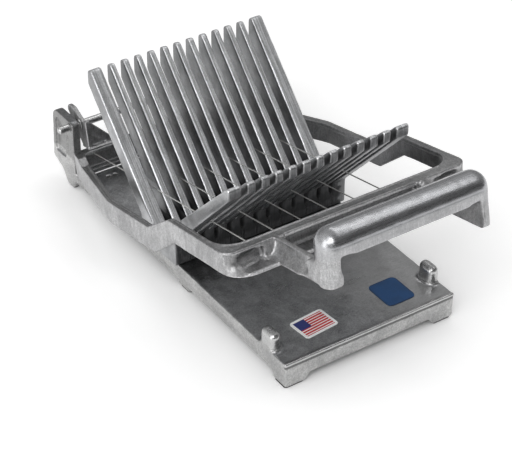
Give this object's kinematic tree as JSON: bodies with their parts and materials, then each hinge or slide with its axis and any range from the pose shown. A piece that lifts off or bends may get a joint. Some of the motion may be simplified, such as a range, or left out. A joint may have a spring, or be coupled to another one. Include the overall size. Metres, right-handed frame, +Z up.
{
  "type": "lever cheese cutter",
  "caption": "Cast-aluminium lever cheese cutter with a finned V cradle on a skirted base and a hinged wire frame with a bar handle, shown with the frame part raised.",
  "frame": {"origin": "on the table, below the middle of the part's box", "axes": "+X to the right of a person at the handle, +Y from the handle back to the hinge, +Z up"},
  "size_m": [0.1704, 0.3045, 0.1218],
  "materials": {
    "base_metal": "cast and tumbled, matte grey",
    "fin_metal": "cast and tumbled, lighter on its edges",
    "arm_metal": "cast, with polished edges and a polished grip",
    "steel": "bright",
    "wire_steel": "bright drawn wire",
    "pad_rubber": "matte",
    "label_white": "printed film with stripes",
    "label_blue": "printed film, left bare"
  },
  "bodies": {
    "base": {"base_casting": "base_metal", "fin_cradle": "fin_metal", "cradle_screws": "steel", "cradle_washers": "steel", "foot_pad_front_left": "pad_rubber", "foot_pad_front_right": "pad_rubber", "foot_pad_middle_left": "pad_rubber", "foot_pad_middle_right": "pad_rubber", "foot_pad_rear_left": "pad_rubber", "foot_pad_rear_right": "pad_rubber", "hinge_rod": "steel", "rod_clip_left": "steel", "rod_clip_right": "steel", "striped_label": "label_white", "plain_label": "label_blue"},
    "arm": {"arm_frame": "arm_metal", "cutting_wire_1": "wire_steel", "cutting_wire_2": "wire_steel", "cutting_wire_3": "wire_steel", "cutting_wire_4": "wire_steel", "cutting_wire_5": "wire_steel", "cutting_wire_6": "wire_steel", "clamp_screws": "steel", "clamp_washers": "steel", "wire_ferrules": "steel"}
  },
  "joints": [
    {"name": "arm_hinge", "type": "hinge", "parent": "base", "child": "arm", "pos_m": [0, 0.12734, 0.0476], "axis": [-1, 0, 0], "range_deg": [-12, 98]}
  ]
}
